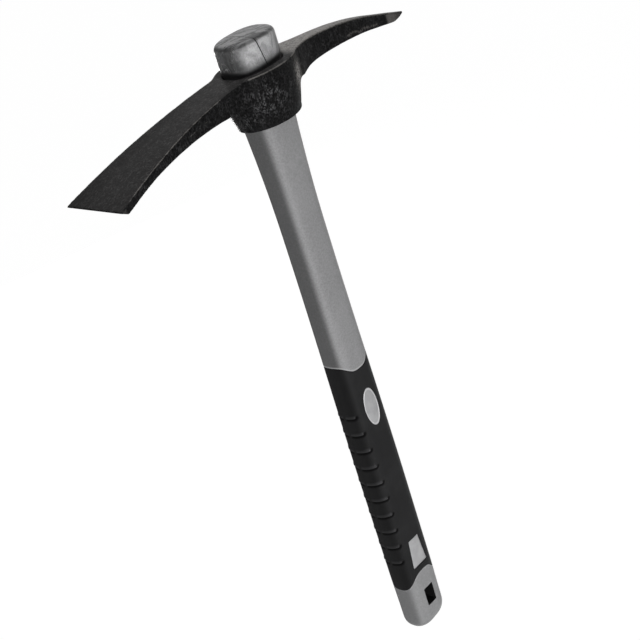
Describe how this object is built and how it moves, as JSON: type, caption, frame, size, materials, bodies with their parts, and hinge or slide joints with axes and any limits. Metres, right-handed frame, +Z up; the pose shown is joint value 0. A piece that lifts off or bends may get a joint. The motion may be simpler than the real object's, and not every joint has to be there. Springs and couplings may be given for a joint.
{
  "type": "hand pick mattock",
  "caption": "One-handed pick mattock: a forged head with an adze and a pick drops over a flared oval handle with a ribbed rubber grip and a hanging hole.",
  "frame": {"origin": "on the handle's axis at the lowest point of the butt end", "axes": "+Z up the handle's axis towards the knob, +X along the pick, -X along the adze, Y across the head"},
  "size_m": [0.2494, 0.0434, 0.402],
  "materials": {
    "forged_steel": "rough forged steel with a black coating, worn to bare grey at the edges",
    "grey_plastic": "moulded grey plastic with a soft sheen",
    "fibreglass": "pultruded fibreglass rod",
    "black_rubber": "matte black thermoplastic rubber",
    "light_grey_plastic": "grainy grey plastic, a little lighter than the handle",
    "badge_metal": "bare satin silver plate"
  },
  "bodies": {
    "handle": {"handle_jacket": "grey_plastic", "core_rod": "fibreglass", "grip_sleeve": "black_rubber", "butt_cap": "light_grey_plastic", "badge_near": "badge_metal", "badge_far": "badge_metal"},
    "head": {"pick_head": "forged_steel"}
  },
  "joints": [
    {"name": "head_slide", "type": "slide", "parent": "handle", "child": "head", "axis": [0, 0, -1], "range_m": [0, 0.4]}
  ]
}
